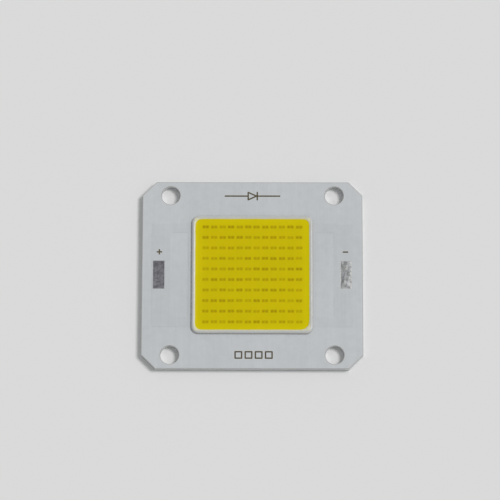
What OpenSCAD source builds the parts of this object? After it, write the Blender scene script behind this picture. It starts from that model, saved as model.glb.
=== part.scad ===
// Chip-on-board LED light source on a 46 x 40 mm aluminium board.
// Origin: middle of the back face. +X runs along the length, +Z is the way the light leaves.

/* [Board] */
// Length of the board along X
board_l = 46; // [44:0.5:52]
// Width of the board along Y
board_w = 40; // [36:0.5:46]
// Thickness of the aluminium base
base_t = 1.5; // [0.8:0.1:3]
// Leg of the 45 degree cut across each corner
corner_cut = 2.9; // [1:0.1:4]
// Chamfer round the back edge and the back of the holes
back_chamfer = 0.12; // [0.05:0.01:0.3]

/* [Screw holes] */
// Distance from the ends of the board to the hole centres, along X
hole_inset_x = 5.9; // [5:0.1:8]
// Distance from the sides of the board to the hole centres, along Y
hole_inset_y = 2.9; // [2.5:0.1:3.3]
// Diameter of the screw holes
hole_d = 3.9; // [3:0.1:4.3]

/* [Laminate, circuit and coating] */
// Thickness of the insulating laminate
laminate_t = 0.1; // [0.06:0.01:0.2]
// Thickness of the copper
copper_t = 0.035; // [0.02:0.005:0.07]
// Thickness of the white coating
coat_t = 0.03; // [0.015:0.005:0.06]
// How far the coating stays back from the edge of the board and of its holes
coat_setback = 0.1; // [0.05:0.05:0.4]
// How far the coating reaches down past the sides of the copper
coat_cover = 0.06; // [0.03:0.01:0.15]
// How far each circuit runs past the window in the laminate, at both ends, along Y
circuit_past = 0.125; // [0.025:0.025:0.4]
// Distance from the end of the board to the copper
circuit_inset = 2.1; // [1.5:0.1:2.3]
// Width of the outer strip of each circuit, under the solder pad
column_w = 3.8; // [3.6:0.1:4.5]
// Width of the cross strips of each circuit
arm_w = 1.9; // [1:0.1:3]
// Width of the bus strip beside the emitting area
bus_w = 2.4; // [2:0.1:3]
// Corner radius of the copper
copper_r = 0.4; // [0.2:0.1:0.8]

/* [Solder pads] */
// Length of a pad along Y
pad_l = 6; // [4:0.1:8]
// Width of a pad along X
pad_w = 2.4; // [1.6:0.1:2.8]
// Distance from the end of the board to the middle of a pad
pad_inset = 3.5; // [3.4:0.05:4]
// Height of the flat tinned pad above the copper
tinning_t = 0.05; // [0.035:0.005:0.1]
// Height of the solder at the edge of the filled pad
solder_edge_t = 0.05; // [0.035:0.005:0.1]
// Height of the solder at the middle of the filled pad
solder_crown_t = 0.22; // [0.12:0.01:0.4]

/* [Dam] */
// Side of the square that the crest of the dam follows
dam_side = 24.5; // [22:0.1:25]
// Corner radius of the crest
dam_corner_r = 1.15; // [1.15:0.05:2.5]
// Width of the bead
dam_w = 1.2; // [1.1:0.05:1.4]
// Height of the bead above the coating
dam_h = 0.7; // [0.6:0.05:0.9]
// Diameter of the blob where the bead starts and stops
blob_d = 1.6; // [1.5:0.05:1.9]
// How far the blob stands above the crest
blob_rise = 0.06; // [0.02:0.01:0.12]

/* [Phosphor] */
// Depth of the middle of the fill below the crest of the dam
fill_drop = 0.22; // [0.18:0.01:0.3]
// Depth of the line where the fill wets the dam, below the crest
contact_drop = 0.12; // [0.08:0.01:0.14]
// Width of the curved rim of the fill
meniscus_w = 0.7; // [0.5:0.05:0.75]

/* [Dies] */
// Number of dies in a string, along X
dies_in_string = 12; // [6:1:13]
// Number of strings side by side, along Y
strings = 10; // [10:1:10]
// Length of a die along X
die_l = 1.14; // [0.8:0.01:1.2]
// Width of a die along Y
die_w = 0.51; // [0.3:0.01:0.9]
// Thickness of a die
die_t = 0.15; // [0.1:0.01:0.2]
// Distance from the crest of the dam to the outermost dies along X
margin_x = 1.945; // [1.9:0.005:2.3]
// Distance from the crest of the dam to the outermost dies along Y
margin_y = 1.825; // [1.8:0.005:2.3]
// Thickness of the adhesive under a die
attach_t = 0.02; // [0.01:0.005:0.04]
// How far the adhesive shows round a die
attach_bleed = 0.03; // [0.01:0.01:0.06]
// Gap between the outermost dies and the edge of the window in the laminate
window_gap = 0.5; // [0.3:0.05:0.55]
// How far the copper and the coating stay back from the edge of the window
window_setback = 0.1; // [0.05:0.01:0.15]
// Width of the coating left between the bond land and the foot of the dam
land_gap = 0.1; // [0.05:0.01:0.15]

/* [Bond wires] */
// Diameter of the wire
wire_d = 0.03; // [0.02:0.005:0.04]
// Height of a loop above its two bonds
loop_h = 0.2; // [0.12:0.01:0.3]
// Diameter of a flattened ball bond
ball_d = 0.08; // [0.06:0.01:0.12]
// Height of a flattened ball bond
ball_h = 0.03; // [0.025:0.005:0.05]
// Distance from the end of a die to the middle of its bond
bond_inset = 0.12; // [0.08:0.01:0.2]

/* [Hidden] */
$fn = 96;

// Number of sides of a wire
wire_sides = 6;
// Overlap that lets a cut or a joined piece run past a face
past = 0.1;

// Levels above the back face
z_laminate = base_t + laminate_t;
z_copper = z_laminate + copper_t;
z_coat = z_laminate + coat_t;
z_crest = z_coat + dam_h;
z_fill = z_crest - fill_drop;
z_die = base_t + attach_t + die_t;
// Both ends of every loop lie at one level, so a bond on the lower face is made taller
z_bond = max(z_die, z_copper) + ball_h;

// Section of the bead: a circle cut by its foot
dam_r = dam_w / 2;
dam_axis_h = dam_h - dam_r;
dam_foot = sqrt(dam_r * dam_r - dam_axis_h * dam_axis_h);
blob_r = blob_d / 2;
blob_axis_h = dam_h + blob_rise - blob_r;
// Place of the blob, on the crest at the middle of its corner
blob_at = dam_side / 2 - dam_corner_r * (1 - sqrt(0.5));

// Section of the fill's rim, by its distance in from the crest
contact_in = sqrt(dam_r * dam_r - pow(dam_r - contact_drop, 2));
rim_rise = fill_drop - contact_drop;
rim_r = (meniscus_w * meniscus_w + rim_rise * rim_rise) / (2 * rim_rise);
rim_in = contact_in + meniscus_w;
// The poured space ends inside the bead, this far past the line where the fill wets it
rim_out = contact_in - 0.1;

// The screw holes
hole_pitch_x = board_l - 2 * hole_inset_x;
hole_pitch_y = board_w - 2 * hole_inset_y;

// The field of dies
field_x = dam_side - 2 * margin_x;
field_y = dam_side - 2 * margin_y;
pitch_x = (field_x - die_l) / (dies_in_string - 1);
pitch_y = (field_y - die_w) / (strings - 1);
bond_off = die_l / 2 - bond_inset;

// The window in the laminate, and the bond lands beside it
window_x = field_x + 2 * window_gap;
window_y = field_y + 2 * window_gap;
land_in = window_x / 2 + window_setback;
land_out = dam_side / 2 - dam_foot - land_gap;
land_mid = (land_in + land_out) / 2;

// The circuits, by their distance from the middle of the board
column_out = board_l / 2 - circuit_inset;
column_in = column_out - column_w;
circuit_l = window_y + 2 * circuit_past;
bus_out = land_in + bus_w;
pad_x = board_l / 2 - pad_inset;

string_names = [for (i = [1 : strings]) str("die_string_", i < 10 ? "0" : "", i)];
wire_names = [for (i = [1 : strings]) str("bond_wires_", i < 10 ? "0" : "", i)];

// ---- Outlines ----

// The board's corners, all round, with the outline moved in by inset
function board_corners(inset) =
    let (
        x = board_l / 2 - inset,
        y = board_w / 2 - inset,
        c = corner_cut - inset * (2 - sqrt(2))
    )
    [
        [x, c - y], [x, y - c], [x - c, y], [c - x, y],
        [-x, y - c], [-x, c - y], [c - x, -y], [x - c, -y]
    ];

module at_holes() {
    for (sx = [-1, 1], sy = [-1, 1])
        translate([sx * hole_pitch_x / 2, sy * hole_pitch_y / 2])
            children();
}

// The board with its holes, with every edge moved back by inset
module board_outline(inset = 0) {
    difference() {
        polygon(board_corners(inset));
        at_holes() circle(d = hole_d + 2 * inset);
    }
}

// A rectangle from one corner to the other, with round corners
module round_rect(low, high, r) {
    size = high - low;
    translate(low + [r, 0]) square([size[0] - 2 * r, size[1]]);
    translate(low + [0, r]) square([size[0], size[1] - 2 * r]);
    for (x = [low[0] + r, high[0] - r], y = [low[1] + r, high[1] - r])
        translate([x, y]) circle(r);
}

// A square centred on the origin, with round corners
module round_square(side, r) {
    round_rect([-side / 2, -side / 2], [side / 2, side / 2], r);
}

module window_outline(grow = 0) {
    square([window_x + 2 * grow, window_y + 2 * grow], center = true);
}

// The circuit at +X: a frame of outer strip, cross strips and bus strip
module circuit_outline(grow = 0) {
    difference() {
        round_rect(
            [land_in - grow, -circuit_l / 2 - grow],
            [column_out + grow, circuit_l / 2 + grow],
            copper_r + grow
        );
        round_rect(
            [bus_out + grow, arm_w - circuit_l / 2 + grow],
            [column_in - grow, circuit_l / 2 - arm_w - grow],
            copper_r - grow
        );
    }
}

module pad_outline() {
    translate([pad_x, 0]) square([pad_w, pad_l], center = true);
}

// The same thing at both ends of the board
module both_ends() {
    children();
    mirror([1, 0, 0]) children();
}

// Openings in the coating: the window, the bond lands beside it and the solder pads
module coat_openings() {
    window_outline(window_setback);
    square([2 * land_out, window_y], center = true);
    both_ends() pad_outline();
}

// ---- Sweeps round the emitting area ----

// Carries a section round the crest of the dam: its +x points outwards, its +y up
module round_crest() {
    for (a = [0 : 90 : 270]) rotate(a) {
        translate([dam_side / 2, dam_side / 2 - dam_corner_r, 0])
            rotate([90, 0, 0])
                linear_extrude(dam_side - 2 * dam_corner_r)
                    children();
        translate([dam_side / 2 - dam_corner_r, dam_side / 2 - dam_corner_r, 0])
            rotate_extrude(angle = 90)
                translate([dam_corner_r, 0])
                    children();
    }
}

module bead_section() {
    intersection() {
        translate([0, dam_axis_h]) circle(dam_r);
        translate([-dam_r, 0]) square([dam_w, dam_h + past]);
    }
}

// Section of the rim of the fill, from the base up to a hollow arc: level at its inner end
module rim_section() {
    difference() {
        translate([-rim_in, base_t - z_crest]) square([rim_in - rim_out, z_crest - base_t]);
        translate([-rim_in, rim_r - fill_drop]) circle(rim_r, $fn = 256);
    }
}

// ---- Board ----

// Takes the chamfer off one back edge, along +X from the origin
module edge_cut(length) {
    translate([-past, 0, 0])
        rotate([90, 0, 90])
            linear_extrude(length + 2 * past)
                polygon([
                    [-past, -past],
                    [back_chamfer + past, -past],
                    [-past, back_chamfer + past]
                ]);
}

module base_plate() {
    corners = board_corners(0);
    color([0.72, 0.73, 0.74])
    difference() {
        linear_extrude(base_t) board_outline();
        for (i = [0 : len(corners) - 1]) {
            from = corners[i];
            side = corners[(i + 1) % len(corners)] - from;
            translate(from)
                rotate(atan2(side[1], side[0]))
                    edge_cut(norm(side));
        }
        at_holes()
            translate([0, 0, -past])
                cylinder(h = back_chamfer + past, r1 = hole_d / 2 + back_chamfer + past, r2 = hole_d / 2);
    }
}

module insulation_layer() {
    color([0.85, 0.82, 0.66])
    translate([0, 0, base_t])
        linear_extrude(laminate_t)
            difference() {
                board_outline();
                window_outline();
            }
}

module copper() {
    color([0.85, 0.55, 0.3])
    translate([0, 0, z_laminate])
        linear_extrude(copper_t)
            circuit_outline();
}

module circuit_positive() {
    mirror([1, 0, 0]) copper();
}

module circuit_negative() {
    copper();
}

// The part of the coating that stands higher, where it covers copper
module raised_coating() {
    translate([0, 0, z_laminate])
        linear_extrude(copper_t + coat_t)
            both_ends() circuit_outline(coat_cover);
}

// The coating lies on the laminate and is carried up over the copper
module white_coating() {
    color([0.93, 0.94, 0.94])
    difference() {
        union() {
            translate([0, 0, z_laminate]) linear_extrude(coat_t) board_outline(coat_setback);
            raised_coating();
        }
        circuit_positive();
        circuit_negative();
        translate([0, 0, base_t])
            linear_extrude(z_crest)
                coat_openings();
    }
}

// A flat film of solder left on the land when the board was tinned
module solder_pad_positive() {
    color([0.45, 0.46, 0.48])
    mirror([1, 0, 0])
        translate([0, 0, z_copper])
            linear_extrude(tinning_t)
                pad_outline();
}

// Radius of an arc of the given chord and rise
function arc_r(chord, rise) = (chord * chord / 4 + rise * rise) / (2 * rise);

// A filled land: the solder is rounded off both ways
module solder_pad_negative() {
    rise = solder_crown_t - solder_edge_t;
    across_r = arc_r(pad_w, rise);
    along_r = arc_r(pad_l, rise);
    color([0.7, 0.7, 0.7])
    intersection() {
        translate([0, 0, z_copper]) linear_extrude(solder_crown_t) pad_outline();
        translate([pad_x, 0, z_copper + solder_crown_t - across_r])
            rotate([90, 0, 0])
                cylinder(r = across_r, h = pad_l + 2 * past, center = true, $fn = 256);
        translate([pad_x, 0, z_copper + solder_crown_t - along_r])
            rotate([0, 90, 0])
                cylinder(r = along_r, h = pad_w + 2 * past, center = true, $fn = 256);
    }
}

// ---- Emitting area ----

// A bead of silicone laid round the dies, with the blob where the nozzle started and stopped
module dam() {
    color([0.95, 0.95, 0.92])
    difference() {
        translate([0, 0, z_coat]) {
            round_crest() bead_section();
            translate([blob_at, -blob_at, 0])
                intersection() {
                    translate([0, 0, blob_axis_h]) sphere(blob_r);
                    linear_extrude(dam_h + blob_d) square(blob_d + past, center = true);
                }
        }
        raised_coating();
    }
}

// The space that the fill is poured into: level in the middle, with a raised rim
module poured_space() {
    translate([0, 0, base_t])
        linear_extrude(z_fill - base_t)
            round_square(dam_side - 2 * rim_in, dam_corner_r - rim_in);
    translate([0, 0, z_crest]) round_crest() rim_section();
}

// The fill takes the shape of all that it covers
module phosphor() {
    color([0.8, 0.74, 0.03])
    difference() {
        poured_space();
        dam();
        insulation_layer();
        circuit_positive();
        circuit_negative();
        white_coating();
        die_attach();
        for (i = [0 : strings - 1]) {
            die_string(i);
            bond_wires(i);
        }
    }
}

function die_x(i) = (i - (dies_in_string - 1) / 2) * pitch_x;
function string_y(i) = (i - (strings - 1) / 2) * pitch_y;

module at_dies(string) {
    for (i = [0 : dies_in_string - 1])
        translate([die_x(i), string_y(string), 0])
            children();
}

module die_attach() {
    color([0.9, 0.9, 0.88])
    translate([0, 0, base_t])
        linear_extrude(attach_t)
            for (string = [0 : strings - 1])
                at_dies(string)
                    square([die_l + 2 * attach_bleed, die_w + 2 * attach_bleed], center = true);
}

module die_string(string) {
    color([0.5, 0.62, 0.72])
    translate([0, 0, base_t + attach_t])
        linear_extrude(die_t)
            at_dies(string)
                square([die_l, die_w], center = true);
}

// A flattened ball from the face at z_foot up to the level of the bonds
module ball_bond(x, z_foot) {
    translate([x, 0, z_foot])
        cylinder(d = ball_d, h = z_bond - z_foot, $fn = 32);
}

// One loop of wire from one bond to the next, as an arc through the middle of both balls
module bond_wire(from, to, z_from, z_to) {
    r = arc_r(to - from, loop_h);
    half_angle = asin((to - from) / 2 / r);
    ball_bond(from, z_from);
    ball_bond(to, z_to);
    translate([(from + to) / 2, 0, z_bond - ball_h / 2 + loop_h - r])
        rotate([90, 0, 0])
            rotate(90 - half_angle)
                rotate_extrude(angle = 2 * half_angle)
                    translate([r, 0]) circle(d = wire_d, $fn = wire_sides);
}

module bond_wires(string) {
    last = dies_in_string - 1;
    color([0.9, 0.75, 0.3])
    translate([0, string_y(string), 0]) {
        bond_wire(-land_mid, die_x(0) - bond_off, z_copper, z_die);
        for (i = [1 : last])
            bond_wire(die_x(i - 1) + bond_off, die_x(i) - bond_off, z_die, z_die);
        bond_wire(die_x(last) + bond_off, land_mid, z_die, z_copper);
    }
}

// ---- The part ----

base_plate();
insulation_layer();
circuit_positive();
circuit_negative();
white_coating();
solder_pad_positive();
solder_pad_negative();
dam();
phosphor();
die_attach();
for (i = [0 : strings - 1]) {
    die_string(i);
    bond_wires(i);
}
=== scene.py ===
# Looks of a chip-on-board light source on a white coated aluminium board.
# Lengths below are in millimetres and are brought to metres where a mesh is made.

import math

import bmesh
import bpy
from mathutils import Matrix, Vector, noise


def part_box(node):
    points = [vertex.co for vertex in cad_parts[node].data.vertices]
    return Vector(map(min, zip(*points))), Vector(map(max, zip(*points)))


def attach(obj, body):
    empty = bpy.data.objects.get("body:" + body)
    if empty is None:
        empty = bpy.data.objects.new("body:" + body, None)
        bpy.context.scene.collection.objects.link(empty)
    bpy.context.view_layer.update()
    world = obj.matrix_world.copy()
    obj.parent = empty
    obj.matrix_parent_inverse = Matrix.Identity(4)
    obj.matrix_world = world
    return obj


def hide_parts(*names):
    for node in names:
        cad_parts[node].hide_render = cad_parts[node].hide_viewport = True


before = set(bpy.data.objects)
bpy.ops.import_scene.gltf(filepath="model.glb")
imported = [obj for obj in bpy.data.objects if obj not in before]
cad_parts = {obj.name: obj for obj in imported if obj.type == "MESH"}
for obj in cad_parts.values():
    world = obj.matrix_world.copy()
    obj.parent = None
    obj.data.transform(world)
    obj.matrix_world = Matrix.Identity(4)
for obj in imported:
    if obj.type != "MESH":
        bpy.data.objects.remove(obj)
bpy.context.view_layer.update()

MM = 0.001


# ---- Sizes, from the solids where they have them ----


def node_box(name):
    """The lowest and highest corner of a solid, in millimetres."""
    low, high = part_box(name)
    return low / MM, high / MM


coating_high = node_box("white_coating")[1]
dam_high = node_box("dam")[1]
pad_low, pad_high = node_box("solder_pad_negative")
copper_high = node_box("circuit_positive")[1]
first_die, last_die = node_box("die_string_01"), node_box("die_string_10")

# The coating, which the copper lifts where it lies over it
COPPER_THICK = 0.035
COAT_OVER_COPPER = coating_high.z
COAT_FACE = COAT_OVER_COPPER - COPPER_THICK

# The dam: a bead whose crest follows a square with rounded corners
BEAD_RADIUS = 0.6
BEAD_HEIGHT = 0.7
CORNER_RADIUS = 1.15
CREST = dam_high.x - BEAD_RADIUS
CREST_Z = COAT_FACE + BEAD_HEIGHT
BEAD_AXIS_Z = CREST_Z - BEAD_RADIUS
BLOB_INSET = 0.337
BLOB_AT = Vector((CREST - BLOB_INSET, BLOB_INSET - CREST, 0))

# The fill: its level below the crest, and the rim that curves up to the bead
FILL_DROP = 0.22
CONTACT_DROP = 0.12
CONTACT_IN = 0.36
MENISCUS = 0.7
FILL_Z = CREST_Z - FILL_DROP

# The dies, and the half lengths of the field that they fill
DIES_IN_STRING = 12
STRINGS = 10
DIE_LENGTH = 1.14
DIE_WIDTH = 0.51
DIE_PITCH_X = (last_die[1].x - first_die[0].x - DIE_LENGTH) / (DIES_IN_STRING - 1)
DIE_PITCH_Y = abs(last_die[0].y - first_die[0].y) / (STRINGS - 1)
FIELD_X = DIE_PITCH_X * DIES_IN_STRING / 2
FIELD_Y = DIE_PITCH_Y * STRINGS / 2

# The solder pads
PAD_X = (pad_low.x + pad_high.x) / 2
PAD_LENGTH = 6.0
PAD_WIDTH = 2.4


# ---- Node helpers ----


class Graph:
    """A small pen for drawing nodes into a material or a group."""

    def __init__(self, tree):
        self.tree = tree

    def node(self, kind, **values):
        made = self.tree.nodes.new(kind)
        for name, value in values.items():
            setattr(made, name, value)
        return made

    def join(self, source, target):
        self.tree.links.new(source, target)

    def feed(self, socket, value):
        """Sets a socket to a number or colour, or links it to another socket."""
        if isinstance(value, bpy.types.NodeSocket):
            self.join(value, socket)
        else:
            socket.default_value = value

    def math(self, operation, first, second=0.0, third=0.0):
        made = self.node("ShaderNodeMath", operation=operation)
        for socket, value in zip(made.inputs, (first, second, third)):
            self.feed(socket, value)
        return made.outputs[0]

    def ramp(self, value, low, high, to_low=0.0, to_high=1.0):
        """A soft step from one value to another as the input goes from low to high."""
        made = self.node("ShaderNodeMapRange", interpolation_type="SMOOTHSTEP")
        names = ("Value", "From Min", "From Max", "To Min", "To Max")
        for name, item in zip(names, (value, low, high, to_low, to_high)):
            self.feed(made.inputs[name], item)
        return made.outputs["Result"]

    def blend(self, amount, first, second):
        """Goes from one colour to another as the amount goes from zero to one."""
        made = self.node("ShaderNodeMix", data_type="RGBA")
        colour_a, colour_b, result = 6, 7, 2
        self.feed(made.inputs["Factor"], amount)
        self.feed(made.inputs[colour_a], first)
        self.feed(made.inputs[colour_b], second)
        return made.outputs[result]

    def place(self, scale=(1, 1, 1)):
        """Object coordinates, brought from metres to millimetres and then stretched."""
        coordinates = self.node("ShaderNodeTexCoord")
        mapping = self.node("ShaderNodeMapping")
        mapping.inputs["Scale"].default_value = [part / MM for part in scale]
        self.join(coordinates.outputs["Object"], mapping.inputs["Vector"])
        return mapping.outputs["Vector"]

    def axes(self, vector):
        split = self.node("ShaderNodeSeparateXYZ")
        self.join(vector, split.inputs[0])
        return split.outputs[0], split.outputs[1], split.outputs[2]

    def noise(self, vector, scale, detail=3.0, roughness=0.5):
        made = self.node("ShaderNodeTexNoise")
        self.join(vector, made.inputs["Vector"])
        made.inputs["Scale"].default_value = scale
        made.inputs["Detail"].default_value = detail
        made.inputs["Roughness"].default_value = roughness
        return made.outputs["Fac"]

    def group(self, group, **values):
        made = self.node("ShaderNodeGroup")
        made.node_tree = group
        for name, value in values.items():
            self.feed(made.inputs[name.replace("_", " ")], value)
        return made


def new_group(name, inputs, outputs):
    """A node group with named sockets, and a pen for its inside."""
    tree = bpy.data.node_groups.new(name, "ShaderNodeTree")
    for socket, kind, value in inputs:
        made = tree.interface.new_socket(name=socket, in_out="INPUT", socket_type=kind)
        if value is not None:
            made.default_value = value
    for socket, kind in outputs:
        tree.interface.new_socket(name=socket, in_out="OUTPUT", socket_type=kind)
    pen = Graph(tree)
    return tree, pen, pen.node("NodeGroupInput").outputs, pen.node("NodeGroupOutput").inputs


FLOAT, VECTOR = "NodeSocketFloat", "NodeSocketVector"


def make_mottle():
    """A cloudy tone at two sizes, centred on one, for uneven coats and castings."""
    tree, pen, given, gives = new_group(
        "mottle",
        [("Place", VECTOR, None), ("Large", FLOAT, 0.15), ("Small", FLOAT, 1.5), ("Strength", FLOAT, 0.05)],
        [("Tone", FLOAT)],
    )
    tones = []
    for size, detail in (("Large", 2.0), ("Small", 4.0)):
        cloud = pen.node("ShaderNodeTexNoise")
        pen.join(given["Place"], cloud.inputs["Vector"])
        pen.join(given[size], cloud.inputs["Scale"])
        cloud.inputs["Detail"].default_value = detail
        tones.append(cloud.outputs["Fac"])
    sum_of_both = pen.math("ADD", tones[0], tones[1])
    centred = pen.math("SUBTRACT", sum_of_both, 1.0)
    pen.join(pen.math("MULTIPLY_ADD", centred, given["Strength"], 1.0), gives["Tone"])
    return tree


def make_grain():
    """Fine lines along one direction, as rolling or brushing leaves them. Height is about zero to one."""
    tree, pen, given, gives = new_group(
        "grain",
        [("Place", VECTOR, None), ("Scale", FLOAT, 6.0)],
        [("Height", FLOAT), ("Tone", FLOAT)],
    )
    fine = pen.node("ShaderNodeTexNoise")
    pen.join(given["Place"], fine.inputs["Vector"])
    pen.join(given["Scale"], fine.inputs["Scale"])
    fine.inputs["Detail"].default_value = 5.0
    fine.inputs["Roughness"].default_value = 0.65
    pen.join(fine.outputs["Fac"], gives["Height"])
    pen.join(pen.ramp(fine.outputs["Fac"], 0.3, 0.7, 0.88, 1.1), gives["Tone"])
    return tree


def make_box_mask():
    """One inside a rectangle, falling softly to zero past its edges."""
    tree, pen, given, gives = new_group(
        "box_mask",
        [
            ("X", FLOAT, 0.0), ("Y", FLOAT, 0.0),
            ("Half X", FLOAT, 1.0), ("Half Y", FLOAT, 1.0), ("Soft", FLOAT, 0.1),
        ],
        [("Mask", FLOAT)],
    )
    past = []
    for axis, half in (("X", "Half X"), ("Y", "Half Y")):
        away = pen.math("SUBTRACT", pen.math("ABSOLUTE", given[axis]), given[half])
        past.append(pen.math("MAXIMUM", away, 0.0))
    squares = [pen.math("MULTIPLY", one, one) for one in past]
    reach = pen.math("SQRT", pen.math("ADD", squares[0], squares[1]))
    share = pen.math("DIVIDE", reach, given["Soft"])
    pen.join(pen.ramp(share, 0.0, 1.0, 1.0, 0.0), gives["Mask"])
    return tree


def make_dust():
    """Sparse small specks."""
    tree, pen, given, gives = new_group(
        "dust",
        [("Place", VECTOR, None), ("Scale", FLOAT, 3.0), ("Amount", FLOAT, 0.06)],
        [("Mask", FLOAT)],
    )
    cells = pen.node("ShaderNodeTexVoronoi")
    pen.join(given["Place"], cells.inputs["Vector"])
    pen.join(given["Scale"], cells.inputs["Scale"])
    pick = pen.node("ShaderNodeTexWhiteNoise", noise_dimensions="3D")
    pen.join(cells.outputs["Position"], pick.inputs["Vector"])
    chosen = pen.math("LESS_THAN", pick.outputs["Value"], given["Amount"])
    speck = pen.ramp(cells.outputs["Distance"], 0.05, 0.14, 1.0, 0.0)
    pen.join(pen.math("MULTIPLY", chosen, speck), gives["Mask"])
    return tree


MOTTLE = make_mottle()
GRAIN = make_grain()
BOX_MASK = make_box_mask()
DUST = make_dust()


def new_material(name, **plain):
    """A material with its Principled shader, whose plain values sit on its own sockets."""
    material = bpy.data.materials.new(name)
    material.use_nodes = True
    pen = Graph(material.node_tree)
    shader = material.node_tree.nodes["Principled BSDF"]
    for socket, value in plain.items():
        shader.inputs[socket.replace("_", " ")].default_value = value
    return material, pen, shader


def add_relief(pen, shader, height, strength, distance):
    """Bumps up to a distance in millimetres."""
    relief = pen.node("ShaderNodeBump")
    relief.inputs["Strength"].default_value = strength
    relief.inputs["Distance"].default_value = distance * MM
    pen.join(height, relief.inputs["Height"])
    pen.join(relief.outputs["Normal"], shader.inputs["Normal"])


def tint(pen, tone, colour):
    """A colour made lighter or darker by a tone near one."""
    lit = pen.node("ShaderNodeCombineColor")
    for index, part in enumerate(colour):
        pen.join(pen.math("MULTIPLY", tone, part), lit.inputs[index])
    return lit.outputs[0]


# ---- Finishes ----


def white_coat():
    """Screen printed white solder mask: satin, faintly cloudy, a little darker where copper lies under it."""
    material, pen, shader = new_material("white_solder_mask", Roughness=0.42, Specular_IOR_Level=0.35)
    place = pen.place()
    x, y, _ = pen.axes(place)
    cloud = pen.group(MOTTLE, Place=place, Large=0.05, Small=0.9, Strength=0.12)
    bands = pen.group(MOTTLE, Place=pen.place(scale=(1, 0.04, 1)), Large=0.5, Small=3.2, Strength=0.08)
    tone = pen.math("MULTIPLY", cloud.outputs["Tone"], bands.outputs["Tone"])
    side = pen.math("ABSOLUTE", x)
    edge = 0.35
    strip = pen.group(
        BOX_MASK, X=pen.math("SUBTRACT", side, 19.0), Y=pen.math("ADD", y, 0.2),
        Half_X=1.75, Half_Y=10.9, Soft=edge,
    )
    bus = pen.group(BOX_MASK, X=pen.math("SUBTRACT", side, 12.1), Y=y, Half_X=1.15, Half_Y=10.9, Soft=edge)
    arm = pen.group(
        BOX_MASK,
        X=pen.math("SUBTRACT", side, 15.2), Y=pen.math("SUBTRACT", pen.math("ABSOLUTE", y), 10.1),
        Half_X=2.0, Half_Y=0.8, Soft=edge,
    )
    inner = pen.math("MAXIMUM", bus.outputs["Mask"], arm.outputs["Mask"])
    copper = pen.math("MAXIMUM", strip.outputs["Mask"], inner)
    tone = pen.math("MULTIPLY", tone, pen.math("MULTIPLY_ADD", copper, -0.035, 1.0))
    specks = pen.group(DUST, Place=place, Scale=1.1, Amount=0.07)
    base = tint(pen, tone, (0.600, 0.622, 0.640))
    speck = pen.math("MULTIPLY", specks.outputs["Mask"], 0.3)
    pen.join(pen.blend(speck, base, (0.30, 0.30, 0.29, 1)), shader.inputs["Base Color"])
    peel = pen.noise(place, 3.4, 2.0)
    fine = pen.noise(place, 16.0, 3.0)
    pen.join(pen.ramp(pen.noise(place, 0.7, 3.0), 0.3, 0.7, 0.36, 0.5), shader.inputs["Roughness"])
    add_relief(pen, shader, pen.math("MULTIPLY_ADD", peel, 0.7, pen.math("MULTIPLY", fine, 0.3)), 0.35, 0.03)
    return material


def board_metal():
    """Rolled aluminium: grain along X on the faces, and a sheared band over a torn one down its edges."""
    material, pen, shader = new_material("rolled_aluminium", Metallic=1.0)
    place = pen.place()
    _, _, z = pen.axes(place)
    along = pen.group(GRAIN, Place=pen.place(scale=(0.05, 1, 1)), Scale=5.0)
    down = pen.group(GRAIN, Place=pen.place(scale=(1, 1, 0.12)), Scale=7.0)
    torn = pen.noise(place, 9.0, 4.0, 0.7)
    edge_break = pen.math("MULTIPLY_ADD", pen.noise(place, 0.9, 2.0), 0.35, 0.4)
    is_torn = pen.ramp(pen.math("SUBTRACT", z, edge_break), -0.06, 0.06, 1.0, 0.0)
    geometry = pen.node("ShaderNodeNewGeometry")
    _, _, facing = pen.axes(geometry.outputs["Normal"])
    is_edge = pen.ramp(pen.math("ABSOLUTE", facing), 0.5, 0.9, 1.0, 0.0)
    edge_height = pen.math("MULTIPLY_ADD", is_torn, torn, down.outputs["Height"])
    face_height = along.outputs["Height"]
    height = pen.math(
        "ADD", pen.math("MULTIPLY", is_edge, edge_height),
        pen.math("MULTIPLY", pen.math("SUBTRACT", 1.0, is_edge), face_height),
    )
    cloud = pen.group(MOTTLE, Place=place, Large=0.2, Small=2.0, Strength=0.10)
    tone = pen.math("MULTIPLY", cloud.outputs["Tone"], along.outputs["Tone"])
    tear = pen.math("MULTIPLY", is_torn, is_edge)
    tone = pen.math("MULTIPLY", tone, pen.math("MULTIPLY_ADD", tear, -0.14, 1.0))
    pen.join(tint(pen, tone, (0.70, 0.71, 0.72)), shader.inputs["Base Color"])
    rough = pen.math("MULTIPLY_ADD", tear, 0.16, 0.34)
    pen.join(pen.math("MULTIPLY_ADD", pen.noise(place, 1.3, 3.0), 0.12, rough), shader.inputs["Roughness"])
    add_relief(pen, shader, height, 0.4, 0.02)
    return material


def laminate_resin():
    """Ceramic filled epoxy, seen only as a thin grey-green line at the edge of the board."""
    material, pen, shader = new_material("filled_epoxy", Roughness=0.6, Specular_IOR_Level=0.4)
    place = pen.place()
    cloud = pen.group(MOTTLE, Place=place, Large=1.4, Small=11.0, Strength=0.25)
    pen.join(tint(pen, cloud.outputs["Tone"], (0.42, 0.43, 0.40)), shader.inputs["Base Color"])
    add_relief(pen, shader, pen.noise(place, 20.0, 3.0), 0.4, 0.01)
    return material


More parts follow.
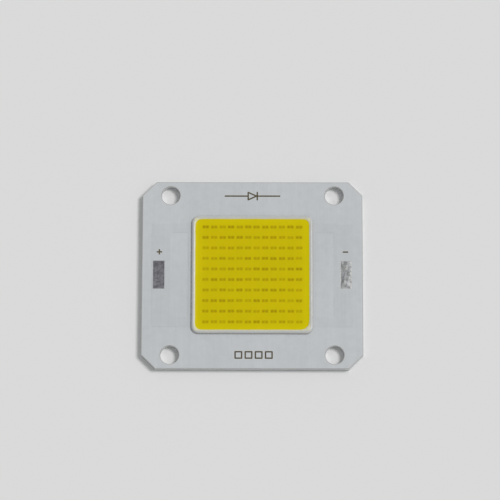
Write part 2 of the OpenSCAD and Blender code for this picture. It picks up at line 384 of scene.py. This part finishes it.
def circuit_copper():
    """Etched copper foil, tin plated, with a dull bloom on it."""
    material, pen, shader = new_material("plated_copper", Metallic=1.0)
    place = pen.place()
    lines = pen.group(GRAIN, Place=pen.place(scale=(1, 0.08, 1)), Scale=9.0)
    tarnish = pen.ramp(pen.noise(place, 1.1, 4.0), 0.35, 0.75)
    bright = tint(pen, lines.outputs["Tone"], (0.70, 0.71, 0.71))
    pen.join(pen.blend(tarnish, bright, (0.58, 0.57, 0.54, 1)), shader.inputs["Base Color"])
    pen.join(pen.math("MULTIPLY_ADD", tarnish, 0.15, 0.42), shader.inputs["Roughness"])
    add_relief(pen, shader, lines.outputs["Height"], 0.3, 0.01)
    return material


def flat_tinning():
    """Levelled tin, dark and dull, with fine lines across the pad and a paler rim."""
    material, pen, shader = new_material("levelled_tin", Metallic=1.0)
    place = pen.place()
    x, y, _ = pen.axes(place)
    lines = pen.group(GRAIN, Place=pen.place(scale=(1, 0.12, 1)), Scale=3.0)
    cloud = pen.group(MOTTLE, Place=place, Large=0.5, Small=2.2, Strength=0.75)
    rim = 0.22
    inner = pen.group(
        BOX_MASK, X=pen.math("ADD", x, PAD_X), Y=y,
        Half_X=PAD_WIDTH / 2 - rim, Half_Y=PAD_LENGTH / 2 - rim, Soft=0.18,
    )
    tone = pen.math("MULTIPLY", lines.outputs["Tone"], cloud.outputs["Tone"])
    dark = tint(pen, tone, (0.215, 0.213, 0.235))
    pale = tint(pen, tone, (0.27, 0.27, 0.285))
    pen.join(pen.blend(inner.outputs["Mask"], pale, dark), shader.inputs["Base Color"])
    pen.join(pen.ramp(pen.noise(place, 2.2, 3.0), 0.3, 0.7, 0.34, 0.52), shader.inputs["Roughness"])
    height = pen.math("ADD", lines.outputs["Height"], cloud.outputs["Tone"])
    add_relief(pen, shader, height, 0.5, 0.02)
    return material


def wetted_solder():
    """Solder wiped by an iron: bright where it flowed, grey and grainy where it froze, with flux stains."""
    material, pen, shader = new_material("wiped_solder", Metallic=1.0)
    place = pen.place()
    lumps = pen.noise(place, 1.5, 4.0, 0.6)
    grains = pen.node("ShaderNodeTexVoronoi")
    pen.join(place, grains.inputs["Vector"])
    grains.inputs["Scale"].default_value = 5.0
    frozen = pen.ramp(lumps, 0.4, 0.62)
    pale = pen.blend(frozen, (0.44, 0.445, 0.45, 1), (0.32, 0.325, 0.33, 1))
    stain = pen.ramp(pen.noise(place, 0.8, 3.0), 0.56, 0.74)
    flux = pen.math("MULTIPLY", stain, 0.35)
    pen.join(pen.blend(flux, pale, (0.40, 0.38, 0.28, 1)), shader.inputs["Base Color"])
    pen.join(pen.math("MULTIPLY_ADD", frozen, 0.12, 0.56), shader.inputs["Roughness"])
    height = pen.math("MULTIPLY_ADD", grains.outputs["Distance"], 0.35, lumps)
    add_relief(pen, shader, height, 0.4, 0.03)
    return material


def dam_silicone():
    """Milky white silicone: glossy, a little see-through, stained yellow where it meets the fill, that stain
    painted pale to offset shade on the inner flank, and with painted shade on its low outer flank.
    """
    material, pen, shader = new_material(
        "milky_silicone", Roughness=0.27, Specular_IOR_Level=0.5, IOR=1.41,
        Subsurface_Weight=0.25, Subsurface_Scale=0.0006, Coat_Roughness=0.18,
    )
    shader.inputs["Subsurface Radius"].default_value = (1.0, 0.85, 0.6)
    place = pen.place()
    x, y, z = pen.axes(place)
    ring = pen.math("MAXIMUM", pen.math("ABSOLUTE", x), pen.math("ABSOLUTE", y))
    inward = pen.ramp(ring, CREST - 0.42, CREST - 0.05, 1.0, 0.0)
    # Painted shade: the low outer flank of the bead is tinted a darker grey (low), standing in for the shade
    # that falls on it
    flank_shade_band = pen.ramp(z, CREST_Z - 0.50, CREST_Z - 0.15, 1.0, 0.0)
    cloud = pen.group(MOTTLE, Place=place, Large=0.25, Small=1.6, Strength=0.08)
    white = tint(pen, cloud.outputs["Tone"], (0.58, 0.59, 0.58))
    low = tint(pen, cloud.outputs["Tone"], (0.36, 0.35, 0.345))
    outer = pen.math("MULTIPLY", flank_shade_band, pen.ramp(ring, CREST + 0.12, CREST + 0.30))
    painted_shade_blend = pen.blend(pen.math("MULTIPLY", outer, 0.85), white, low)
    # The yellow where the fill wets the bead is a real stain; its pale tone is painted light that offsets
    # shade on the inner flank
    stain_and_painted_light = pen.math("MULTIPLY", inward, 0.8)
    pen.join(pen.blend(stain_and_painted_light, painted_shade_blend, (0.82, 0.78, 0.50, 1)), shader.inputs["Base Color"])
    pen.join(pen.ramp(pen.noise(place, 1.0, 2.0), 0.3, 0.7, 0.2, 0.34), shader.inputs["Roughness"])
    add_relief(pen, shader, pen.noise(place, 1.8, 2.0), 0.25, 0.05)
    return material


def phosphor_silicone():
    """Yellow phosphor in silicone, with the dies showing through as short soft dashes."""
    material, pen, shader = new_material("phosphor_silicone", Specular_IOR_Level=0.07, IOR=1.41)
    place = pen.place()
    x, y, _ = pen.axes(place)
    across = pen.math("DIVIDE", x, DIE_PITCH_X)
    along = pen.math("DIVIDE", y, DIE_PITCH_Y)
    cell_x = pen.math("FLOOR", across)
    cell_y = pen.math("FLOOR", along)
    cell = pen.node("ShaderNodeCombineXYZ")
    pen.join(cell_x, cell.inputs[0])
    pen.join(cell_y, cell.inputs[1])
    pick = pen.node("ShaderNodeTexWhiteNoise", noise_dimensions="3D")
    pen.join(cell.outputs[0], pick.inputs["Vector"])
    chance = pen.axes(pick.outputs["Color"])
    middle_x = pen.math("SUBTRACT", pen.math("FRACT", across), 0.5)
    middle_y = pen.math("SUBTRACT", pen.math("FRACT", along), 0.5)
    local_x = pen.math("MULTIPLY", middle_x, DIE_PITCH_X)
    local_y = pen.math("MULTIPLY", middle_y, DIE_PITCH_Y)
    # The fill scatters, so each die's edge wanders a little
    wander = pen.math("MULTIPLY", pen.math("SUBTRACT", pen.noise(place, 2.4, 2.0), 0.5), 0.14)
    play_x, play_y = 0.10, 0.06
    shift_x = pen.math("MULTIPLY_ADD", chance[0], play_x, pen.math("SUBTRACT", wander, play_x / 2))
    shift_y = pen.math("MULTIPLY_ADD", chance[1], play_y, pen.math("SUBTRACT", wander, play_y / 2))
    local_x = pen.math("ADD", local_x, shift_x)
    local_y = pen.math("ADD", local_y, shift_y)
    dash = pen.group(
        BOX_MASK, X=local_x, Y=local_y, Half_X=DIE_LENGTH / 2 - 0.10, Half_Y=DIE_WIDTH / 2 - 0.13, Soft=0.34,
    )
    ends = pen.ramp(pen.math("ABSOLUTE", local_x), 0.06, 0.34, 0.66, 1.0)
    strength = pen.math("MULTIPLY_ADD", chance[2], 0.5, 0.62)
    field = pen.math(
        "MULTIPLY", pen.math("LESS_THAN", pen.math("ABSOLUTE", x), FIELD_X),
        pen.math("LESS_THAN", pen.math("ABSOLUTE", y), FIELD_Y),
    )
    shape = pen.math("MULTIPLY", dash.outputs["Mask"], ends)
    dark = pen.math("MULTIPLY", shape, pen.math("MULTIPLY", strength, field))
    # A lighter margin where no die lies under the fill
    margin = pen.group(BOX_MASK, X=x, Y=y, Half_X=FIELD_X - 1.2, Half_Y=FIELD_Y - 1.8, Soft=2.6)
    cloud = pen.group(MOTTLE, Place=place, Large=0.10, Small=0.7, Strength=0.08)
    spots = pen.group(DUST, Place=place, Scale=1.6, Amount=0.05)
    rim = tint(pen, cloud.outputs["Tone"], (0.715, 0.600, 0.0020))
    inside = tint(pen, cloud.outputs["Tone"], (0.668, 0.546, 0.0012))
    body = pen.blend(margin.outputs["Mask"], rim, inside)
    seen = pen.blend(pen.math("MULTIPLY", dark, 0.95), body, (0.430, 0.315, 0.0006, 1))
    spot = pen.math("MULTIPLY", spots.outputs["Mask"], 0.25)
    pen.join(pen.blend(spot, seen, (0.78, 0.70, 0.06, 1)), shader.inputs["Base Color"])
    pen.join(pen.ramp(pen.noise(place, 0.5, 2.0), 0.3, 0.7, 0.4, 0.55), shader.inputs["Roughness"])
    sag = pen.math("MULTIPLY", dark, 0.25)
    height = pen.math("ADD", pen.noise(place, 1.1, 3.0), sag)
    add_relief(pen, shader, height, 0.35, 0.09)
    return material


def print_ink():
    """Dark brown marking ink, thin enough to wear at its edges."""
    material, pen, shader = new_material("marking_ink", Roughness=0.5, Specular_IOR_Level=0.3)
    place = pen.place()
    worn = pen.ramp(pen.noise(place, 5.0, 4.0, 0.6), 0.42, 0.78)
    pen.join(pen.blend(worn, (0.070, 0.055, 0.024, 1), (0.20, 0.165, 0.10, 1)), shader.inputs["Base Color"])
    add_relief(pen, shader, pen.noise(place, 14.0, 3.0), 0.3, 0.01)
    return material


def die_adhesive():
    """Clear silicone adhesive, cloudy where it is thick."""
    material, pen, shader = new_material("clear_adhesive", Roughness=0.35, Specular_IOR_Level=0.45)
    place = pen.place()
    cloud = pen.group(MOTTLE, Place=place, Large=0.6, Small=5.0, Strength=0.10)
    pen.join(tint(pen, cloud.outputs["Tone"], (0.80, 0.80, 0.77)), shader.inputs["Base Color"])
    add_relief(pen, shader, pen.noise(place, 8.0, 2.0), 0.3, 0.01)
    return material


def die_sapphire():
    """Blue-grey sapphire chips, each with its current fingers."""
    material, pen, shader = new_material("sapphire_chip", Roughness=0.14, Specular_IOR_Level=0.7, IOR=1.77)
    place = pen.place()
    _, y, _ = pen.axes(place)
    middle = pen.math("SUBTRACT", pen.math("FRACT", pen.math("DIVIDE", y, DIE_PITCH_Y)), 0.5)
    local_y = pen.math("MULTIPLY", middle, DIE_PITCH_Y)
    finger_y = 0.1
    off_finger = pen.math("ABSOLUTE", pen.math("SUBTRACT", pen.math("ABSOLUTE", local_y), finger_y))
    finger = pen.ramp(off_finger, 0.008, 0.02, 1.0, 0.0)
    cloud = pen.group(MOTTLE, Place=place, Large=0.8, Small=6.0, Strength=0.15)
    blue = tint(pen, cloud.outputs["Tone"], (0.34, 0.45, 0.55))
    pen.join(pen.blend(finger, blue, (0.80, 0.68, 0.38, 1)), shader.inputs["Base Color"])
    return material


def bond_gold():
    """Drawn gold wire."""
    material, pen, shader = new_material("gold_wire", Metallic=1.0, Roughness=0.22)
    place = pen.place()
    cloud = pen.group(MOTTLE, Place=place, Large=3.0, Small=22.0, Strength=0.12)
    pen.join(tint(pen, cloud.outputs["Tone"], (0.90, 0.66, 0.26)), shader.inputs["Base Color"])
    return material


def dress(node, material):
    """Gives a solid its finish."""
    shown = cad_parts[node]
    if not shown.material_slots:
        shown.data.materials.append(material)
    for place in shown.material_slots:
        place.material = material


dress("base_plate", board_metal())
dress("insulation_layer", laminate_resin())
COPPER = circuit_copper()
dress("circuit_positive", COPPER)
dress("circuit_negative", COPPER)
dress("white_coating", white_coat())
dress("solder_pad_positive", flat_tinning())
dress("die_attach", die_adhesive())
SAPPHIRE, GOLD = die_sapphire(), bond_gold()
for string in range(1, STRINGS + 1):
    dress("die_string_%02d" % string, SAPPHIRE)
    dress("bond_wires_%02d" % string, GOLD)


# ---- Shapes ----


def finish_piece(bm, name, material, slot, *nodes, smooth_angle=40):
    """Turns a mesh worked out in millimetres into a piece of the part."""
    bmesh.ops.scale(bm, vec=(MM, MM, MM), verts=bm.verts)
    mesh = bpy.data.meshes.new(name)
    bm.to_mesh(mesh)
    bm.free()
    mesh.shade_smooth()
    mesh.set_sharp_from_angle(angle=math.radians(smooth_angle))
    piece = bpy.data.objects.new(name, mesh)
    bpy.context.scene.collection.objects.link(piece)
    mesh.materials.append(material)
    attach(piece, "root")
    if nodes:
        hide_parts(*nodes)


def carry_round(bm, section, half, radius, side_steps, corner_steps):
    """Carries a section, standing at the start of the right-hand side, round a rounded square."""
    run = half - radius
    carried = section
    for quarter in range(4):
        turn = Matrix.Rotation(quarter * math.pi / 2, 3, "Z")
        heading = turn @ Vector((0, 1, 0))
        carried = bmesh.ops.spin(
            bm, geom=carried, cent=(0, 0, 0), axis=(0, 0, 1), angle=0.0, steps=side_steps,
            dvec=heading * (2 * run / side_steps), use_duplicate=False,
        )["geom_last"]
        centre = turn @ Vector((run, run, 0))
        carried = bmesh.ops.spin(
            bm, geom=carried, cent=centre, axis=(0, 0, 1), angle=math.pi / 2, steps=corner_steps,
            use_duplicate=False,
        )["geom_last"]
    bmesh.ops.remove_doubles(bm, verts=bm.verts, dist=0.002)
    bmesh.ops.recalc_face_normals(bm, faces=bm.faces)


def chain(bm, points):
    """A run of edges through a few points."""
    corners = [bm.verts.new(point) for point in points]
    edges = [bm.edges.new(pair) for pair in zip(corners, corners[1:])]
    return corners + edges


def smooth_step(value, low, high):
    share = max(0.0, min(1.0, (value - low) / (high - low)))
    return share * share * (3 - 2 * share)


def square_reach(place):
    """How far a place lies past the straight part of the crest's square, along X and along Y."""
    run = CREST - CORNER_RADIUS
    return Vector((max(abs(place.x) - run, 0.0), max(abs(place.y) - run, 0.0), 0))


def square_distance(place):
    """Distance outwards from the crest."""
    return square_reach(place).length - CORNER_RADIUS


def square_normal(place):
    """Direction straight out from the crest."""
    reach = square_reach(place)
    return Vector((math.copysign(reach.x, place.x), math.copysign(reach.y, place.y), 0)).normalized()


def shape_dam():
    """The bead that was laid round the emitting area, with the swelling where it starts and stops."""
    bm = bmesh.new()
    ring = bmesh.ops.create_circle(bm, segments=28, radius=BEAD_RADIUS)["verts"]
    bmesh.ops.rotate(bm, verts=ring, cent=(0, 0, 0), matrix=Matrix.Rotation(math.pi / 2, 3, "X"))
    bmesh.ops.translate(bm, verts=ring, vec=(CREST, CORNER_RADIUS - CREST, BEAD_AXIS_Z))
    for point in ring:
        point.co.z = max(point.co.z, COAT_FACE - 0.01)
    carry_round(bm, ring + list(bm.edges), CREST, CORNER_RADIUS, 56, 12)
    for point in bm.verts:
        place = Vector((point.co.x, point.co.y, 0))
        height = max(0.0, point.co.z - COAT_FACE)
        outward = square_normal(place)
        across = square_distance(place)
        inner = 1 - smooth_step(across, -0.15, 0.15)
        # The bead stands steeper outside than inside, where the fill wets it
        shift = -0.28 * across if across > 0 else 0.0
        # The needle wanders a little, and the bead swells and thins with it
        shift += 0.022 * noise.noise(place * 0.35 + Vector((0, 0, 1.7)))
        swell = 1 + 0.04 * noise.noise(place * 0.5 + Vector((0, 0, 8.1)))
        corner = Vector((math.copysign(CREST - 0.45, place.x), math.copysign(CREST - 0.45, place.y), 0))
        shift -= 0.20 * inner * math.exp(-((place - corner).length / 0.75) ** 2)
        # Where it starts and stops, a second pass leaves it fuller
        lump = math.exp(-((place - BLOB_AT).length / 1.05) ** 2)
        shift += lump * (0.05 - 0.42 * inner)
        point.co += outward * shift
        if height > 0:
            point.co.z = COAT_FACE + height * swell + 0.055 * lump * min(1.0, height / 0.5)
    limit = dam_high.x
    for point in bm.verts:
        point.co.x = max(-limit, min(limit, point.co.x))
        point.co.y = max(-limit, min(limit, point.co.y))
    finish_piece(bm, "dam_bead", dam_silicone(), "dam_silicone", "dam", smooth_angle=60)


def shape_fill():
    """The poured fill: flat in the middle, curved up where it wets the bead."""
    bm = bmesh.new()
    start_y = CORNER_RADIUS - CREST
    rise = FILL_DROP - CONTACT_DROP
    # A skirt hidden inside the bead, then the rim, which starts a hair inside the bead's face
    points = [(CREST - 0.18, start_y, COAT_FACE + 0.03), (CREST - 0.22, start_y, CREST_Z - 0.2)]
    rim_steps, tuck = 8, 0.05
    for step in range(rim_steps + 1):
        share = step / rim_steps
        inward = CONTACT_IN - tuck + (MENISCUS + tuck) * share
        points.append((CREST - inward, start_y, FILL_Z + rise * (1 - share) ** 2))
    section = chain(bm, points)
    carry_round(bm, section, CREST, CORNER_RADIUS, 40, 10)
    inner = [edge for edge in bm.edges if edge.is_boundary and edge.verts[0].co.z > FILL_Z - 0.05]
    bmesh.ops.contextual_create(bm, geom=inner)
    outer = [edge for edge in bm.edges if edge.is_boundary]
    bmesh.ops.contextual_create(bm, geom=outer)
    bmesh.ops.recalc_face_normals(bm, faces=bm.faces)
    finish_piece(
        bm, "phosphor_fill", phosphor_silicone(), "phosphor_silicone", "phosphor", smooth_angle=50,
    )


def shape_solder():
    """The filled pad: a low, lumpy pool of solder with a ragged edge."""
    bm = bmesh.new()
    base_z = copper_high.z
    crown = pad_high.z - base_z
    edge_height = 0.03
    bmesh.ops.create_grid(bm, x_segments=28, y_segments=64, size=0.5)
    bmesh.ops.scale(bm, vec=(PAD_WIDTH, PAD_LENGTH, 1), verts=bm.verts)
    rim = [edge for edge in bm.edges if edge.is_boundary]
    rim_points = {point for edge in rim for point in edge.verts}
    for point in bm.verts:
        u, v = point.co.x / (PAD_WIDTH / 2), point.co.y / (PAD_LENGTH / 2)
        edge_fall = (1 - abs(u) ** 4) * (1 - abs(v) ** 6)
        pull = 0.10 * noise.noise(Vector((point.co.x * 1.4, point.co.y * 1.4, 3.1)))
        lumps = 0.42 + 0.6 * noise.noise(Vector((point.co.x * 0.9, point.co.y * 0.75, 6.4)))
        ripple = 0.12 * noise.noise(Vector((point.co.x * 3.6, point.co.y * 3.6, 2.2)))
        height = edge_height + crown * 0.62 * max(0.04, min(1.0, edge_fall * (lumps + ripple)))
        ragged = abs(noise.noise(Vector((point.co.y * 1.3, u * 0.8, 9.0))))
        ragged += 0.4 * abs(noise.noise(Vector((point.co.y * 4.1, u * 2.0, 5.0))))
        point.co.x = point.co.x * (0.97 - 0.34 * ragged) + pull * (1 - u * u)
        point.co.y *= 0.98 - 0.05 * abs(noise.noise(Vector((point.co.x * 2.2, 4.0, 9.0))))
        point.co.z = base_z + (edge_height if point in rim_points else height)
    skirt = bmesh.ops.extrude_edge_only(bm, edges=rim)["geom"]
    lowered = [part for part in skirt if isinstance(part, bmesh.types.BMVert)]
    for point in lowered:
        point.co.z = base_z + 0.001
    under = [edge for edge in bm.edges if edge.is_boundary]
    bmesh.ops.contextual_create(bm, geom=under)
    bmesh.ops.translate(bm, verts=bm.verts, vec=(PAD_X, 0, 0))
    bmesh.ops.recalc_face_normals(bm, faces=bm.faces)
    finish_piece(bm, "solder_fill", wetted_solder(), "solder", "solder_pad_negative", smooth_angle=70)


def lay_stroke(bm, start, end, width, level):
    """The outline of a flat printed stroke with round ends, standing a hair above the coating."""
    first, last = Vector(start), Vector(end)
    heading = (last - first).normalized()
    side = Vector((-heading.y, heading.x)) * width / 2
    opening = ending = None
    for centre, begin in ((first, first + side), (last, last - side)):
        corner = bm.verts.new((begin.x, begin.y, level))
        if ending:
            bm.edges.new((ending, corner))
        turned = bmesh.ops.spin(
            bm, geom=[corner], cent=(centre.x, centre.y, level), axis=(0, 0, 1), angle=math.pi, steps=8,
            use_duplicate=False,
        )["geom_last"]
        ending = [part for part in turned if isinstance(part, bmesh.types.BMVert)][0]
        opening = opening or corner
    bm.edges.new((ending, opening))


INK_THICK = 0.008
INK_STEP = 0.0006


def print_strokes(name, strokes, level, material):
    """Prints a group of strokes as one thin piece."""
    bm = bmesh.new()
    for index, (start, end, width) in enumerate(strokes):
        known = set(bm.edges)
        lay_stroke(bm, start, end, width, level + INK_STEP * index)
        fresh = [edge for edge in bm.edges if edge not in known]
        flat = bmesh.ops.contextual_create(bm, geom=fresh)["faces"]
        raised = bmesh.ops.extrude_face_region(bm, geom=flat)["geom"]
        lifted = [part for part in raised if isinstance(part, bmesh.types.BMVert)]
        bmesh.ops.translate(bm, verts=lifted, vec=(0, 0, INK_THICK))
    bmesh.ops.recalc_face_normals(bm, faces=bm.faces)
    finish_piece(bm, name, material, "white_coating", smooth_angle=30)


def box_strokes(x, y, wide, high, width):
    """The four sides of a printed rectangle."""
    left, right, low, top = x - wide / 2, x + wide / 2, y - high / 2, y + high / 2
    corners = [(left, low), (right, low), (right, top), (left, top)]
    return [(corners[index], corners[(index + 1) % 4], width) for index in range(4)]


shape_dam()
shape_fill()
shape_solder()

INK = print_ink()
STROKE = 0.29
SIGN_X, SIGN_Y, SIGN_ARM = 19.4, 4.9, 0.45


def level_stroke(x, y):
    return (x - SIGN_ARM, y), (x + SIGN_ARM, y), STROKE


def upright_stroke(x, y):
    return (x, y - SIGN_ARM), (x, y + SIGN_ARM), STROKE


plus = [level_stroke(-SIGN_X, SIGN_Y), upright_stroke(-SIGN_X, SIGN_Y)]
print_strokes("plus_mark", plus, COAT_OVER_COPPER, INK)
print_strokes("minus_mark", [level_stroke(SIGN_X, SIGN_Y)], COAT_OVER_COPPER, INK)

# Generic marks where such boards are printed: a diode between its two ends, and a row of test boxes
top_y, low_y = 17.0, -17.1
lead_end, sign_half = 5.7, 0.8
diode = [
    ((-lead_end, top_y), (-1.0, top_y), STROKE),
    ((1.0, top_y), (lead_end, top_y), STROKE),
    ((-0.9, top_y - sign_half), (-0.9, top_y + sign_half), STROKE),
    ((-0.9, top_y + sign_half), (0.85, top_y), STROKE),
    ((-0.9, top_y - sign_half), (0.85, top_y), STROKE),
    ((1.0, top_y - sign_half), (1.0, top_y + sign_half), STROKE),
]
print_strokes("diode_mark", diode, COAT_FACE, INK)
boxes = []
row_x, box_pitch, box_side = 0.3, 2.1, 1.35
for index in range(4):
    boxes += box_strokes(row_x + (index - 1.5) * box_pitch, low_y, box_side, box_side, STROKE)
print_strokes("box_marks", boxes, COAT_FACE, INK)


# ---- Floor, light and camera ----


def lay_floor():
    bm = bmesh.new()
    bmesh.ops.create_circle(bm, cap_ends=True, segments=96, radius=60.0)
    mesh = bpy.data.meshes.new("floor")
    bm.to_mesh(mesh)
    bm.free()
    floor = bpy.data.objects.new("floor", mesh)
    bpy.context.scene.collection.objects.link(floor)
    material, _, shader = new_material("pale_floor", Roughness=0.85, Specular_IOR_Level=0.1)
    shader.inputs["Base Color"].default_value = (0.86, 0.86, 0.86, 1)
    mesh.materials.append(material)


def light_world(strength, seen):
    """An even pale room. The camera sees its own tone, so the floor meets it softly."""
    world = bpy.data.worlds.new("studio")
    bpy.context.scene.world = world
    world.use_nodes = True
    pen = Graph(world.node_tree)
    background = world.node_tree.nodes["Background"]
    path = pen.node("ShaderNodeLightPath")
    pen.join(pen.ramp(path.outputs["Is Camera Ray"], 0.0, 1.0, strength, seen), background.inputs["Strength"])
    background.inputs["Color"].default_value = (0.985, 0.995, 1.0, 1)


def add_sun(name, strength, azimuth, elevation, angle, colour):
    """A soft distant light. Azimuth runs from +X towards +Y."""
    light = bpy.data.lights.new(name, "SUN")
    light.energy = strength
    light.angle = math.radians(angle)
    light.color = colour
    lamp = bpy.data.objects.new(name, light)
    lamp.rotation_euler = (math.radians(90 - elevation), 0, math.radians(azimuth + 90))
    bpy.context.scene.collection.objects.link(lamp)


lay_floor()
light_world(0.40, 0.70)
add_sun("key", 1.56, 18, 57, 20, (1.0, 0.995, 0.985))

CAMERA_AT = Vector((1.725, -162.005, 644.654)) * MM
CAMERA_TURN = [math.radians(angle) for angle in (14.5872, 0.1621, 0.1371)]
camera_data = bpy.data.cameras.new("camera")
camera_data.sensor_width = 36
camera_data.lens = 229.311
camera_data.clip_start = 0.01
camera_data.clip_end = 200
camera = bpy.data.objects.new("camera", camera_data)
camera.location = CAMERA_AT
camera.rotation_euler = CAMERA_TURN
bpy.context.scene.collection.objects.link(camera)
bpy.context.scene.camera = camera

bpy.context.scene.view_settings.view_transform = "Standard"
bpy.context.scene.view_settings.look = "None"
